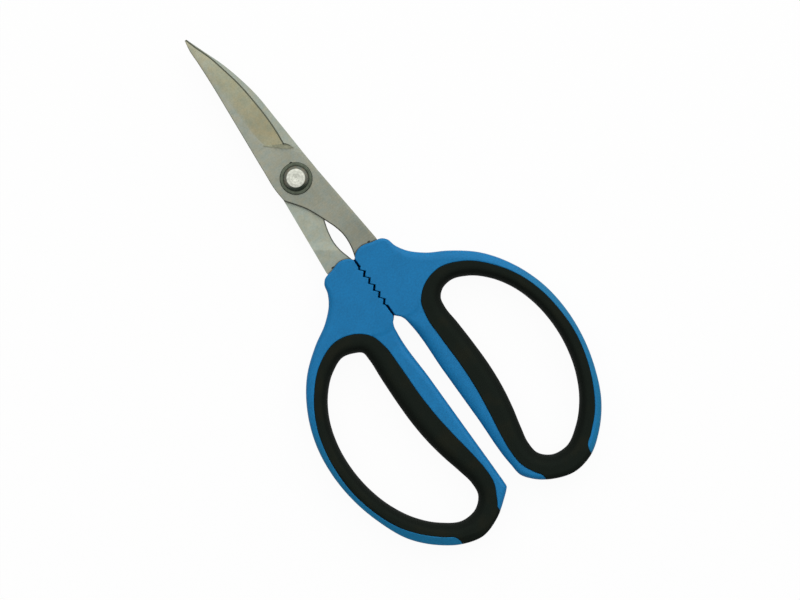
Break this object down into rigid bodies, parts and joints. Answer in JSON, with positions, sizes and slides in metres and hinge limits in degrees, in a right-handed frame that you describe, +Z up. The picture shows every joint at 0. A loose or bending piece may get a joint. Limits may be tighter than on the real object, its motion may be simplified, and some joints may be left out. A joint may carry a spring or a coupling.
{
  "type": "poultry shears",
  "caption": "Kitchen shears with narrow hollow-ground blades on a rivet, blue moulded handles with gripping teeth and wide finger loops lined in soft black.",
  "frame": {"origin": "middle of the bounding box's footprint, on the flat surface the closed shears lie on", "axes": "+Y towards the blade tips, +Z up out of the surface, +X towards the right handle"},
  "size_m": [0.1046, 0.2106, 0.0124],
  "materials": {
    "blade_steel": "satin ground stainless steel",
    "handle_plastic": "finely textured blue hard plastic",
    "grip_rubber": "satin black soft lining",
    "rivet_steel": "bright turned head",
    "washer_steel": "darkened steel"
  },
  "bodies": {
    "rear_half": {"rear_blade": "blade_steel", "left_handle": "handle_plastic", "left_grip": "grip_rubber", "pivot_rivet": "rivet_steel", "rear_washer": "washer_steel"},
    "front_half": {"front_blade": "blade_steel", "right_handle": "handle_plastic", "right_grip": "grip_rubber", "front_washer": "washer_steel"}
  },
  "joints": [
    {"name": "blade_pivot", "type": "hinge", "parent": "rear_half", "child": "front_half", "pos_m": [0, 0.0407, 0.006], "axis": [0, 0, 1], "range_deg": [0, 60]}
  ]
}
